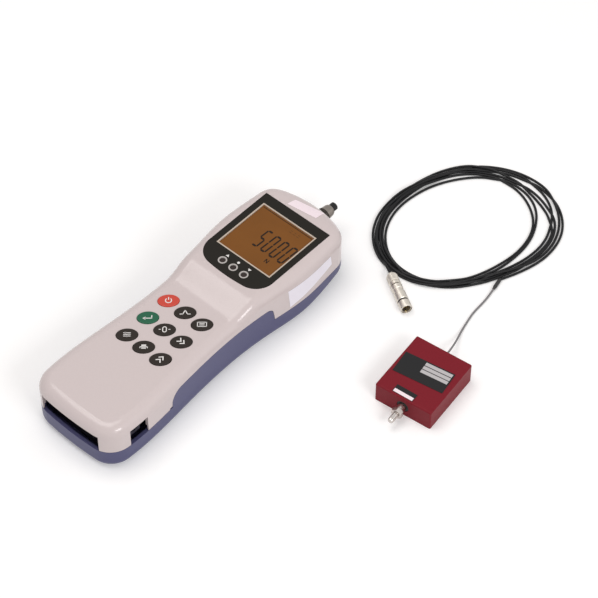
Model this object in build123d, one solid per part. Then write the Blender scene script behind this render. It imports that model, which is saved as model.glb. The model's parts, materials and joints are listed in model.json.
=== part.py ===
from build123d import *
import os
from math import cos, radians, sin, tan

# Handheld force gauge with a separate load cell on a coiled lead.
# Frame: +X is the gauge's right, +Y points to the end with the load cell socket, +Z is up.
# The origin is the middle of the stand hole pattern on the flat back, which lies on the bench.

# Case, plan outline (half widths at their own places along Y)
foot_end_y = -112.2
foot_bow_radius = 260.0
foot_corner_taper = 1.8
foot_corner_radius = 16.0
foot_half_width = 35.4
foot_widest_y = -77.0
waist_half_width = 31.3
waist_start_y = -20.0
waist_end_y = 13.0
shoulder_half_width = 33.3
shoulder_y = 34.0
head_half_width = 36.3
head_widest_y = 62.0
head_corner_half_width = 33.4
head_corner_radius = 15.0
head_end_y = 112.0
head_bow_radius = 62.0

# Case, heights
keypad_height = 36.0
head_height = 41.6
ramp_start_y = 2.0
ramp_end_y = 25.5
head_slope_start_y = 96.0
head_slope_length = 20.0
head_slope_drop = 8.6
kick_start_y = 48.0
kick_length = 70.0
kick_rise = 10.5
parting_height = 15.6
grip_height = 27.5
grip_start_y = -57.0
grip_end_y = 36.0
grip_low_radius = 9.0
grip_high_radius = 5.0
grip_end_slant = 1.8
grip_gap_length = 2.4
grip_gap_height = 1.4

# Case, walls and edges
wall = 2.4
top_edge_radius = 8.0
bottom_edge_radius = 6.5
seam_gap = 0.3
lip_inset = 1.3
lip_height = 3.8
lip_clearance = 0.15
far = 200.0

# Openings in the skirt of the top shell
port_side_margin = 11.4
port_top_height = 29.0
side_notch_y = -87.0
side_notch_length = 15.0

# Output connector behind the slot
connector_half_width = 14.0
connector_height = 7.6
connector_drop = 1.2

# Main board and the screws that clamp it between the shells
board_thickness = 1.6
board_drop = 8.0
board_inset = 4.6
board_start_y = -97.0
board_end_y = 99.0
screw_foot_inset = 7.5
screw_foot_y = -66.0
screw_waist_inset = 7.7
screw_waist_y = 9.0
screw_head_inset = 12.3
screw_head_y = 97.0
screw_radius = 1.45
screw_hole_clearance = 0.25
screw_head_radius = 2.75
screw_head_length = 2.4
screw_head_seat_height = 12.0
screw_tip_drop = 3.8
pilot_clearance = 0.02
boss_radius = 3.9
lower_boss_radius = 4.1
counterbore_clearance = 0.4

# Keys: a three by three grid of ovals turned 45 degrees
key_columns = 3
key_rows = 3
key_pitch_x = 14.4
key_pitch_y = 18.4
key_grid_y = -28.0
key_half_length = 7.1
key_half_width = 5.1
key_turn = 45.0
key_clearance = 0.15
key_stand_out = 0.6
key_flange = 1.1
key_flange_thickness = 1.0
key_flange_gap = 0.1
key_plunger_radius = 2.0
key_travel = 0.6
dome_radius = 2.4
dome_height = 0.8
dome_gap = 0.1
key_names = [
    ["key_power", "key_peak", "key_memory"],
    ["key_enter", "key_zero", "key_down"],
    ["key_function", "key_print", "key_up"],
]

# Display
window_y = 65.2
window_width = 43.6
window_length = 42.6
lcd_frame_width = 0.9
lcd_frame_drop = 0.1
lcd_recess = 0.9
lcd_clearance = 0.1
bezel_half_width = 27.4
bezel_top_y = 95.0
bezel_bottom_y = 26.2
bezel_thickness = 1.6
bezel_clearance = 0.15
bezel_corner_radius = 14.0
bezel_bottom_bow = 3.0
lcd_thickness = 2.8
backlight_margin = 1.0
backlight_thickness = 2.6
holder_wall = 1.5
holder_clearance = 0.2
led_y = 34.1
led_pitch = 9.1
led_radius = 2.0
led_collar_radius = 3.0
led_collar_depth = 1.0
led_collar_proud = 0.15

# Battery bay in the back
bay_y = -57.5
bay_width = 49.0
bay_length = 56.0
bay_clearance = 0.25
bay_ledge = 2.0
bay_pad = 3.0
bay_pad_height = 1.4
cover_thickness = 2.2
cell_count = 4
cell_radius = 5.1
cell_length = 44.0
cell_pitch = 10.7
cell_offset_y = 2.2
cell_tray_wall = 1.4
cell_clearance = 0.3
cover_screw_inset = 4.0
cover_boss_radius = 3.2
cover_boss_height = 9.5

# Stand holes in the back
stand_spacing_x = 36.0
stand_spacing_y = 40.0
insert_radius = 2.9
insert_bore_radius = 1.65
insert_length = 8.0
insert_boss_wall = 1.8

# Load cell socket on the head end
socket_height = 20.0
socket_thread_radius = 4.9
socket_nut_radius = 7.0
socket_nut_thickness = 2.4
socket_barrel_length = 9.5
socket_cone_length = 5.0
socket_cone_radius = 3.6
socket_nose_radius = 2.8
socket_nose_length = 4.5
socket_nose_groove = 0.3
socket_core_radius = 2.5
socket_bore_clearance = 0.1
socket_contact_radius = 0.35
socket_contact_ring = 1.5

# Load cell
cell_center = (131.5, 65.6)
cell_turn = 6.9
box_width = 41.0
box_length = 47.0
box_height = 15.5
box_wall = 2.5
box_edge = 1.0
junction_gap = 4.0
junction_length = 8.0
base_thickness = 2.5
base_clearance = 0.15
post_size = 5.5
shaft_height = 7.75
shaft_sleeve_radius = 2.8
shaft_sleeve_length = 4.0
shaft_thread_radius = 2.0
shaft_tail_radius = 1.75
shaft_neck_radius = 1.8
shaft_groove_radius = 1.7
shaft_groove_length = 0.4
shaft_thread_length = 10.5
shaft_travel = 0.25
shaft_running_clearance = 0.05
shoulder_radius = 3.6
shoulder_thickness = 1.6
bush_radius = 4.3
bush_recess = 0.4
nut_flats = 7.0
nut_thickness = 3.2
nut_gap = 0.3
beam_thickness = 8.0
beam_height = 7.5
beam_hole_radius = 2.9
beam_slot = 1.2
beam_gap = 0.3
beam_y = 0.0
base_hole_spacing = 25.0
base_hole_radius = 1.65

# Lead, cable and plug
lead_radius = 0.65
cable_radius = 0.85
grommet_radius = 2.3
grommet_flange_radius = 2.9
grommet_stand_out = 3.0
splice_radius = 1.25
splice_start = (113.2, 157.6, 1.25)
splice_end = (111.2, 166.6, 1.25)
lead_start_run = 4.0
lead_points = [
    (123.7, 107.6, 3.3),
    (119.9, 117.0, 0.9),
    (117.6, 126.0, 0.75),
    (115.7, 134.6, 0.75),
    (115.3, 143.0, 0.75),
    (114.6, 150.6, 0.85),
]
coil_center = (66.0, 182.0)
coil_height = 5.0
coil_outer_radius = 57.7
coil_outer_swing = (-0.84, 5.78, -5.24, 4.89)
coil_inner_radius = 45.2
coil_inner_swing = (-3.4, 1.53, -5.28, 2.36)
coil_points = 16
tail_start = (43.6, 129.4, 3.2)
tail_bend = (50.0, 125.3, 3.6)
plug_back = (57.1, 121.1)
plug_turn = -29.9
plug_radius = 4.0
plug_length = 31.0
plug_nut_length = 8.0
plug_nut_radius = 3.2
plug_grip_length = 6.5
plug_body_radius = 3.5
plug_sleeve_length = 14.0
plug_sleeve_travel = 2.0
plug_sleeve_clearance = 0.05
plug_mouth_depth = 6.5
plug_mouth_radius = 2.9
plug_mouth_wall = 0.45
plug_seat_radius = 2.7
plug_pin_radius = 0.3
plug_pin_ring = 1.5

# Values that follow from the ones above
keypad_inner_height = keypad_height - wall
board_top_height = keypad_height - board_drop
board_bottom_height = board_top_height - board_thickness
screw_tip_height = keypad_height - screw_tip_drop
port_half_width = foot_half_width - port_side_margin
foot_corner_half_width = foot_half_width - foot_corner_taper


def bow(radius, x):
    """How far an arc of a radius has dropped away at a distance from its middle."""
    return radius - (radius ** 2 - x ** 2) ** 0.5


def case_face(inset):
    """The case outline as a face, drawn in by a distance."""
    foot_x = foot_corner_half_width - inset
    foot_mid = foot_end_y + inset
    foot_y = foot_mid + bow(foot_bow_radius, foot_x)
    head_x = head_corner_half_width - inset
    head_mid = head_end_y - inset
    head_y = head_mid - bow(head_bow_radius, head_x)
    side = [
        (foot_x, foot_y),
        (foot_half_width - inset, foot_widest_y),
        ((foot_half_width + waist_half_width) / 2 - inset, (foot_widest_y + waist_start_y) / 2),
        (waist_half_width - inset, waist_start_y),
        (waist_half_width - inset, waist_end_y),
        (shoulder_half_width - inset, shoulder_y),
        (head_half_width - inset, head_widest_y),
        ((head_half_width + head_corner_half_width) / 2 + 0.4 - inset, (head_widest_y + head_y) / 2),
        (head_x, head_y),
    ]
    right = Spline(*side)
    left = Spline(*[(-x, y) for x, y in reversed(side)])
    foot = ThreePointArc((-foot_x, foot_y), (0, foot_mid), (foot_x, foot_y))
    head = ThreePointArc((head_x, head_y), (0, head_mid), (-head_x, head_y))
    face = make_face([foot, right, head, left])
    face = fillet([v for v in face.vertices() if v.Y < 0], foot_corner_radius - inset)
    return fillet([v for v in face.vertices() if v.Y > head_y - 1], head_corner_radius - inset)


def slab(face, low, high):
    """A face raised between two heights."""
    return Pos(0, 0, low) * extrude(face, amount=high - low)


def block(x0, x1, y0, y1, z0, z1):
    """A box between two corners."""
    return Pos((x0 + x1) / 2, (y0 + y1) / 2, (z0 + z1) / 2) * Box(x1 - x0, y1 - y0, z1 - z0)


def upright(x, y, z0, z1, radius):
    """A round bar along Z."""
    return Pos(x, y, (z0 + z1) / 2) * Cylinder(radius, z1 - z0)


def along_y(x, z, y0, y1, radius):
    """A round bar along Y."""
    return Pos(x, (y0 + y1) / 2, z) * Rot(90, 0, 0) * Cylinder(radius, y1 - y0)


def along_x(y, z, x0, x1, radius):
    """A round bar along X."""
    return Pos((x0 + x1) / 2, y, z) * Rot(0, 90, 0) * Cylinder(radius, x1 - x0)


def case_profile(inset):
    """Side view of the case: flat over the keys, raised over the display, and kicked up under the head."""
    top = keypad_height - inset
    head_top = head_height - inset
    slope_end_y = head_slope_start_y + head_slope_length
    kick_end_y = kick_start_y + kick_length
    low = inset
    edges = [
        Line((-far, low), (-far, top)),
        Line((-far, top), (ramp_start_y, top)),
        Spline((ramp_start_y, top), (ramp_end_y, head_top), tangents=[(1, 0), (1, 0)]),
        Line((ramp_end_y, head_top), (head_slope_start_y, head_top)),
        TangentArc((head_slope_start_y, head_top), (slope_end_y, head_top - head_slope_drop), tangent=(1, 0)),
        Line((slope_end_y, head_top - head_slope_drop), (kick_end_y, head_top - head_slope_drop)),
        Line((kick_end_y, head_top - head_slope_drop), (kick_end_y, low + kick_rise)),
        TangentArc((kick_start_y, low), (kick_end_y, low + kick_rise), tangent=(1, 0)),
        Line((kick_start_y, low), (-far, low)),
    ]
    profile = Plane.YZ * make_face(edges)
    return Pos(-far, 0, 0) * extrude(profile, amount=2 * far)


def case_form(inset):
    """The whole case, or the space inside it, with rounded upper and lower edges."""
    form = slab(case_face(inset), -1.0, far) & case_profile(inset)
    around = [e for e in form.edges() if e.geom_type != GeomType.LINE]
    top = [e for e in around if e.center().Z > grip_height]
    form = fillet(top, top_edge_radius - inset)
    around = [e for e in form.edges() if e.geom_type != GeomType.LINE]
    bottom = [e for e in around if e.bounding_box().max.Z < parting_height]
    return fillet(bottom, bottom_edge_radius - inset)


def below_parting(rise):
    """Everything below the line where the shells part, which climbs along the grip."""
    low = block(-far, far, -far, far, -far, parting_height + rise)
    top = grip_height + rise
    start = grip_start_y - rise
    end = grip_end_y + rise
    corners = [
        (start, 0),
        (start, top),
        (end - grip_end_slant, top),
        (end, parting_height),
        (end, 0),
    ]
    panel = make_face(Polyline(*corners, close=True))
    panel = fillet([v for v in panel.vertices() if v.Y > parting_height + 1 and v.X < 0], grip_low_radius + rise)
    panel = fillet([v for v in panel.vertices() if v.Y > parting_height + 1 and v.X > end - 3], grip_high_radius + rise)
    high = Pos(-far, 0, 0) * extrude(Plane.YZ * panel, amount=2 * far)
    return low + high


def bezel_face(inset):
    """The display bezel: square at the head end, rounded towards the keys."""
    half = bezel_half_width - inset
    top = bezel_top_y - inset
    bottom = bezel_bottom_y + inset
    edges = [
        Line((-half, top), (half, top)),
        Line((half, top), (half, bottom + bezel_bottom_bow)),
        ThreePointArc((half, bottom + bezel_bottom_bow), (0, bottom), (-half, bottom + bezel_bottom_bow)),
        Line((-half, bottom + bezel_bottom_bow), (-half, top)),
    ]
    face = make_face(edges)
    return fillet([v for v in face.vertices() if v.Y < window_y], bezel_corner_radius - inset)


def key_places():
    """Name and centre of each key."""
    for row in range(key_rows):
        for column in range(key_columns):
            x = (column - (key_columns - 1) / 2) * key_pitch_x
            y = key_grid_y + ((key_rows - 1) / 2 - row) * key_pitch_y
            yield key_names[row][column], x, y


def oval(x, y, grow):
    """A key's oval, larger all round by a distance."""
    return Pos(x, y) * Rot(0, 0, key_turn) * Ellipse(key_half_length + grow, key_half_width + grow)


def boss_places():
    """The six case screws."""
    places = [
        (foot_half_width - screw_foot_inset, screw_foot_y),
        (waist_half_width - screw_waist_inset, screw_waist_y),
        (head_half_width - screw_head_inset, screw_head_y),
    ]
    for x, y in places:
        yield x, y
        yield -x, y


def stand_places():
    """The four stand holes around the origin."""
    for x in (-stand_spacing_x / 2, stand_spacing_x / 2):
        for y in (-stand_spacing_y / 2, stand_spacing_y / 2):
            yield x, y


def make_top_shell(outer, inner):
    shell = outer - inner
    for x, y in boss_places():
        high = keypad_inner_height + 0.5
        if y > ramp_start_y:
            high = head_height - wall
        shell += upright(x, y, board_top_height, high, boss_radius) & outer
    pilot = screw_radius + pilot_clearance
    for x, y in boss_places():
        shell -= upright(x, y, board_top_height - 1, screw_tip_height + 0.3, pilot)
    shell -= below_parting(seam_gap)
    rebate = slab(case_face(lip_inset - lip_clearance), 0, far)
    shell -= rebate & below_parting(lip_height + seam_gap)
    gap_y = grip_start_y - seam_gap
    shell -= block(-far, far, gap_y - grip_gap_length, gap_y + 1, 0, parting_height + grip_gap_height)
    for name, x, y in key_places():
        shell -= slab(oval(x, y, 0), keypad_inner_height - 1, keypad_height + 1)
    shell -= slab(bezel_face(0), head_height - bezel_thickness, head_height + 1)
    opening_x = window_width / 2 + lcd_clearance
    opening_y = window_length / 2 + lcd_clearance
    shell -= block(-opening_x, opening_x, window_y - opening_y, window_y + opening_y, board_top_height, far)
    for x in led_columns():
        shell -= upright(x, led_y, board_top_height, far, led_radius + 0.4)
    shell -= block(-port_half_width, port_half_width, -far, foot_end_y + 8, 0, port_top_height)
    notch = side_notch_length / 2
    shell -= block(foot_half_width - 9, far, side_notch_y - notch, side_notch_y + notch, 0, port_top_height)
    shell -= along_y(0, socket_height, head_end_y - 12, head_end_y + 5, socket_thread_radius + socket_bore_clearance)
    return shell


def led_columns():
    """X of each indicator lamp."""
    return [-led_pitch, 0.0, led_pitch]


def lip_gaps():
    """Centre and half size of the places where the lip of the bottom shell is left out."""
    yield 0, foot_end_y, port_half_width + 1, 12.0
    yield foot_half_width, side_notch_y, 9.0, side_notch_length / 2 + 1


def make_bottom_shell(outer, inner):
    lip = outer & slab(case_face(lip_inset), -1, far) & below_parting(lip_height)
    shell = (outer & below_parting(0)) + lip - inner
    for x, y in boss_places():
        shell += upright(x, y, 1.0, board_bottom_height, lower_boss_radius) & outer
    for x, y in stand_places():
        shell += upright(x, y, 1.0, insert_length + wall, insert_radius + insert_boss_wall)
    for x, y in boss_places():
        seat = screw_head_radius + counterbore_clearance
        shell -= upright(x, y, -1, screw_head_seat_height, seat)
        shell -= upright(x, y, 0, far, screw_radius + screw_hole_clearance)
    for x, y in stand_places():
        shell -= upright(x, y, -1, insert_length, insert_radius)
    half_x = bay_width / 2
    half_y = bay_length / 2
    low_y = bay_y - half_y
    high_y = bay_y + half_y
    pad = bay_pad
    shell += block(-half_x - pad, half_x + pad, low_y - pad, high_y + pad, 1.0, wall + bay_pad_height)
    shell -= block(-half_x, half_x, low_y, high_y, -1, cover_thickness + 0.1)
    ledge = bay_ledge
    shell -= block(-half_x + ledge, half_x - ledge, low_y + ledge, high_y - ledge, -1, wall + bay_pad_height + 1)
    screw_y = low_y + cover_screw_inset
    seat = cover_thickness + 0.1
    lug = block(-cover_boss_radius, cover_boss_radius, low_y + 1, screw_y, seat, wall + bay_pad_height)
    shell += upright(0, screw_y, seat, cover_boss_height, cover_boss_radius) + lug
    shell -= upright(0, screw_y, 0, cover_boss_height - 1, screw_radius + pilot_clearance)
    for mid_x, mid_y, reach_x, reach_y in lip_gaps():
        shell -= block(mid_x - reach_x, mid_x + reach_x, mid_y - reach_y, mid_y + reach_y, parting_height, far)
    shell -= along_y(0, socket_height, head_end_y - 12, head_end_y + 5, socket_thread_radius + socket_bore_clearance)
    return shell


def make_key(x, y):
    """One oval key cap with its flange under the shell and its plunger."""
    top = keypad_height + key_stand_out
    cap = slab(oval(x, y, -key_clearance), keypad_inner_height - key_flange_gap - 0.5, top)
    rim = [e for e in cap.edges() if abs(e.center().Z - top) < 0.01]
    cap = fillet(rim, key_stand_out * 0.8)
    flange_top = keypad_inner_height - key_flange_gap
    flange = slab(oval(x, y, key_flange), flange_top - key_flange_thickness, flange_top)
    foot = board_top_height + dome_height + dome_gap + key_travel
    return cap + flange + upright(x, y, foot, flange_top - 0.5, key_plunger_radius)


def make_display(nodes):
    """Bezel, window, liquid crystal, backlight, its holder and the indicator lamps."""
    z1 = head_height
    z0 = z1 - bezel_thickness
    half_x = window_width / 2
    half_y = window_length / 2
    frame_x = half_x + lcd_frame_width
    frame_y = half_y + lcd_frame_width
    rim = lcd_clearance
    bezel = slab(bezel_face(bezel_clearance), z0, z1)
    bezel -= block(-frame_x - rim, frame_x + rim, window_y - frame_y - rim, window_y + frame_y + rim, z0 - 1, z1 + 1)
    frame = block(-frame_x, frame_x, window_y - frame_y, window_y + frame_y, z0, z1 - lcd_frame_drop)
    frame -= block(-half_x, half_x, window_y - half_y, window_y + half_y, z0 - 1, z1 + 1)
    leds = []
    collars = []
    for x in led_columns():
        bezel -= upright(x, led_y, z0 - 1, z1 + 1, led_radius + 0.1)
        seat = z1 - led_collar_depth
        bezel -= upright(x, led_y, seat, z1 + 1, led_collar_radius + 0.05)
        ring = upright(x, led_y, seat, z1 + led_collar_proud, led_collar_radius)
        ring -= upright(x, led_y, seat - 1, z1 + 1, led_radius + 0.1)
        collars.append(ring)
        stem = upright(x, led_y, board_top_height, z1 - led_radius * 0.6, led_radius)
        dome = Pos(x, led_y, z1 - led_radius * 0.6) * Sphere(led_radius)
        base = upright(x, led_y, board_top_height, board_top_height + 1, led_radius + 0.4)
        lamp = (stem + dome + base) - block(x - 5, x + 5, led_y - 5, led_y + 5, z1 - 0.25, z1 + 5)
        leds.append(lamp)
    nodes["display_bezel"] = bezel
    nodes["lcd_frame"] = frame
    nodes["led_collars"] = Compound(collars)
    nodes["status_leds"] = Compound(leds)
    lcd_x = half_x - lcd_clearance
    lcd_y = half_y - lcd_clearance
    lcd_high = z1 - lcd_recess
    lcd_low = lcd_high - lcd_thickness
    nodes["lcd_panel"] = block(-lcd_x, lcd_x, window_y - lcd_y, window_y + lcd_y, lcd_low, lcd_high)
    light_x = half_x + backlight_margin
    light_y = half_y + backlight_margin
    light_low = lcd_low - backlight_thickness
    nodes["lcd_backlight"] = block(-light_x, light_x, window_y - light_y, window_y + light_y, light_low, lcd_low)
    in_x = light_x + holder_clearance
    in_y = light_y + holder_clearance
    out_x = in_x + holder_wall
    out_y = in_y + holder_wall
    holder = block(-out_x, out_x, window_y - out_y, window_y + out_y, board_top_height, lcd_low)
    holder -= block(-in_x, in_x, window_y - in_y, window_y + in_y, light_low, far)
    shelf = 3.0
    holder -= block(-in_x + shelf, in_x - shelf, window_y - in_y + shelf, window_y + in_y - shelf, 0, far)
    nodes["lcd_holder"] = holder


def make_board(nodes):
    """The main board, the parts soldered on it and the domes under the keys."""
    board = slab(case_face(board_inset), board_bottom_height, board_top_height)
    board &= block(-far, far, board_start_y, board_end_y, 0, far)
    for x, y in boss_places():
        board -= upright(x, y, 0, far, screw_radius + screw_hole_clearance)
    nodes["main_board"] = board
    domes = []
    for name, x, y in key_places():
        disc = upright(x, y, board_top_height, board_top_height + dome_height, dome_radius)
        rim = [e for e in disc.edges() if abs(e.center().Z - board_top_height - dome_height) < 0.01]
        domes.append(fillet(rim, dome_height * 0.7))
    nodes["switch_domes"] = Compound(domes)
    low = board_bottom_height
    chips = [
        block(-9, 9, 40, 58, low - 2.4, low),
        block(-20, -12, 30, 42, low - 1.8, low),
        block(12, 20, 60, 68, low - 3.0, low),
        block(-6, 6, -14, -4, low - 2.0, low),
        upright(16, -4, low - 9, low, 3.2),
        upright(-16, -4, low - 9, low, 3.2),
    ]
    nodes["board_components"] = Compound(chips)


def make_ports(nodes):
    """The plug-in ports in the foot: an output connector behind the slot and a power jack behind the notch."""
    face_y = foot_end_y + 8.0
    low = board_bottom_height
    shell_half = connector_half_width
    shell_high = low - connector_drop
    shell_low = shell_high - connector_height
    panel_half = port_half_width + 1.0
    panel = block(-panel_half, panel_half, face_y + 1.2, face_y + 2.8, wall + 2.6, low - 0.3)
    panel -= block(-shell_half - 0.2, shell_half + 0.2, face_y, face_y + 5, shell_low - 0.2, shell_high + 0.2)
    nodes["port_panel"] = panel
    body = Pos(0, face_y + 3.5, (shell_low + shell_high) / 2) * Box(
        2 * shell_half, 7.0, shell_high - shell_low
    )
    body = fillet(body.edges().filter_by(Axis.Y), 1.6)
    mount = block(-shell_half, shell_half, face_y + 5.0, face_y + 9.0, shell_low + 1.6, low)
    body += mount
    cavity = Pos(0, face_y + 2.0, (shell_low + shell_high) / 2) * Box(
        2 * shell_half - 1.6, 6.0, shell_high - shell_low - 1.6
    )
    body -= cavity
    nodes["output_connector"] = body
    tongue_back = face_y + 5.0
    middle = (shell_low + shell_high) / 2
    half = shell_half - 2.0
    nodes["output_connector_tongue"] = block(-half, half, face_y + 1.0, tongue_back, middle - 1.2, middle + 1.2)
    jack_x = foot_half_width - 12.5
    jack = block(jack_x, foot_half_width - 4.6, side_notch_y - 4.5, side_notch_y + 4.5, low - 9.4, low)
    jack_z = low - 4.9
    jack -= along_x(side_notch_y, jack_z, jack_x + 2.0, far, 2.9)
    jack += along_x(side_notch_y, jack_z, jack_x + 1.5, foot_half_width - 5.6, 0.9)
    nodes["power_jack"] = jack


def make_battery(nodes):
    """Cells, tray, cover and its screw in the back."""
    half_x = bay_width / 2 - bay_clearance
    half_y = bay_length / 2 - bay_clearance
    cover = block(-half_x, half_x, bay_y - half_y, bay_y + half_y, 0, cover_thickness)
    cover = chamfer([e for e in cover.edges() if abs(e.center().Z) < 0.01], 0.4)
    groove_count = 5
    for i in range(groove_count):
        y = bay_y + half_y - 8.0 - 2.4 * i
        cover -= block(-9, 9, y - 0.5, y + 0.5, -1, 0.6)
    screw_y = bay_y - bay_length / 2 + cover_screw_inset
    cover -= upright(0, screw_y, -1, far, screw_radius + screw_hole_clearance)
    cover -= Pos(0, screw_y, 0.6) * Cone(screw_head_radius + 0.2, screw_radius + 0.2, 1.2)
    cover -= upright(0, screw_y, -1, 0.05, screw_head_radius + 0.2)
    nodes["battery_cover"] = cover
    tray_low = wall + bay_pad_height
    tray_x = cell_count * cell_pitch / 2 + cell_tray_wall
    tray_y = cell_length / 2 + cell_tray_wall + cell_clearance
    middle_y = bay_y + cell_offset_y
    cell_z = tray_low + cell_clearance + cell_radius
    tray_top = cell_z + cell_radius + cell_clearance + cell_tray_wall
    tray = block(-tray_x, tray_x, middle_y - tray_y, middle_y + tray_y, tray_low, tray_top)
    in_x = tray_x - cell_tray_wall
    in_y = tray_y - cell_tray_wall
    tray -= block(-in_x, in_x, middle_y - in_y, middle_y + in_y, 0, cell_z)
    cells = []
    for i in range(cell_count):
        x = (i - (cell_count - 1) / 2) * cell_pitch
        y0 = middle_y - cell_length / 2
        y1 = middle_y + cell_length / 2
        tray -= along_y(x, cell_z, y0 - cell_clearance, y1 + cell_clearance, cell_radius + cell_clearance / 2)
        body = along_y(x, cell_z, y0, y1 - 1.4, cell_radius)
        button = along_y(x, cell_z, y0, y1, cell_radius * 0.35)
        cells.append(body + button)
    tray -= upright(0, screw_y, 0, cover_boss_height + 0.5, cover_boss_radius + 0.3)
    nodes["battery_tray"] = tray
    nodes["battery_cells"] = Compound(cells)
    return screw_y, tray_low


def make_screws(nodes, cover_screw_y):
    """Case screws, the cover screw and the stand inserts."""
    screws = []
    for x, y in boss_places():
        z = screw_head_seat_height
        head = upright(x, y, z - screw_head_length, z, screw_head_radius)
        head -= upright(x, y, z - screw_head_length - 1, z - screw_head_length + 1.2, 1.2)
        screws.append(head + upright(x, y, z - 0.5, screw_tip_height, screw_radius))
    nodes["case_screws"] = Compound(screws)
    head = Pos(0, cover_screw_y, 0.65) * Cone(screw_head_radius, screw_radius, 1.2)
    shank = upright(0, cover_screw_y, 1.0, 8.0, screw_radius)
    nodes["battery_cover_screw"] = head + shank - block(-2, 2, cover_screw_y - 0.3, cover_screw_y + 0.3, -1, 0.5)
    inserts = []
    for x, y in stand_places():
        body = upright(x, y, 0, insert_length, insert_radius)
        inserts.append(body - upright(x, y, -1, insert_length + 1, insert_bore_radius))
    nodes["stand_inserts"] = Compound(inserts)


def turned(profile, place):
    """A solid of revolution about Y from (radius, y) points, set at a place."""
    face = make_face(Polyline(*[(r, y) for r, y in profile], close=True))
    return place * revolve(face, axis=Axis.Y)


def make_socket(nodes):
    """The load cell socket on the head end."""
    place = Pos(0, 0, socket_height)
    nut_inner = head_end_y - wall - 0.4
    barrel_end = head_end_y + socket_barrel_length
    cone_end = barrel_end + socket_cone_length
    nose_end = cone_end + socket_nose_length
    bore = socket_core_radius + socket_bore_clearance
    nodes["socket_barrel"] = turned(
        [
            (bore, nut_inner - 5),
            (socket_thread_radius, nut_inner - 5),
            (socket_thread_radius, barrel_end - 1.0),
            (socket_thread_radius - 0.35, barrel_end - 0.6),
            (socket_thread_radius - 0.35, barrel_end),
            (socket_cone_radius + 0.5, cone_end - 1.2),
            (socket_cone_radius, cone_end),
            (bore, cone_end),
        ],
        place,
    )
    grip = socket_thread_radius + 0.05
    nodes["socket_ring_nut"] = turned(
        [
            (grip, head_end_y + 0.2),
            (socket_nut_radius, head_end_y + 0.2),
            (socket_nut_radius, head_end_y + socket_nut_thickness - 0.6),
            (socket_nut_radius - 0.6, head_end_y + socket_nut_thickness),
            (grip, head_end_y + socket_nut_thickness),
        ],
        place,
    )
    nodes["socket_lock_nut"] = turned(
        [
            (grip, nut_inner - 2.2),
            (socket_nut_radius - 0.4, nut_inner - 2.2),
            (socket_nut_radius - 0.4, nut_inner),
            (grip, nut_inner),
        ],
        place,
    )
    groove_end = cone_end + socket_nose_groove
    insert = turned(
        [
            (0, nut_inner - 4),
            (socket_core_radius, nut_inner - 4),
            (socket_core_radius, groove_end),
            (socket_nose_radius, groove_end),
            (socket_nose_radius, nose_end - 0.4),
            (socket_nose_radius - 0.5, nose_end),
            (0, nose_end),
        ],
        place,
    )
    contacts = []
    for x, z in contact_ring(socket_contact_ring):
        hole_z = socket_height + z
        insert -= along_y(x, hole_z, nose_end - 4, nose_end + 1, socket_contact_radius + 0.12)
        insert -= along_y(x, hole_z, nut_inner - 5, nose_end - 4, socket_contact_radius)
        contacts.append(along_y(x, hole_z, nut_inner - 7, nose_end - 2.0, socket_contact_radius - 0.02))
    nodes["socket_insert"] = insert
    nodes["socket_contacts"] = Compound(contacts)


def contact_ring(radius):
    """Places of the six contacts of the plug and the socket."""
    count = 6
    for i in range(count):
        angle = radians(360 / count * i)
        yield radius * cos(angle), radius * sin(angle)


def box_frame():
    """Place of the load cell: its own X is its width and its own -Y points along the shaft."""
    return Pos(cell_center[0], cell_center[1], 0) * Rot(0, 0, cell_turn)


def hexagon(flats, thickness, y, z):
    """A hex nut blank along Y."""
    face = Plane.XZ * Rot(0, 0, 30) * RegularPolygon(flats / 2, 6, major_radius=False)
    return Pos(0, y, z) * extrude(face, amount=-thickness)


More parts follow.
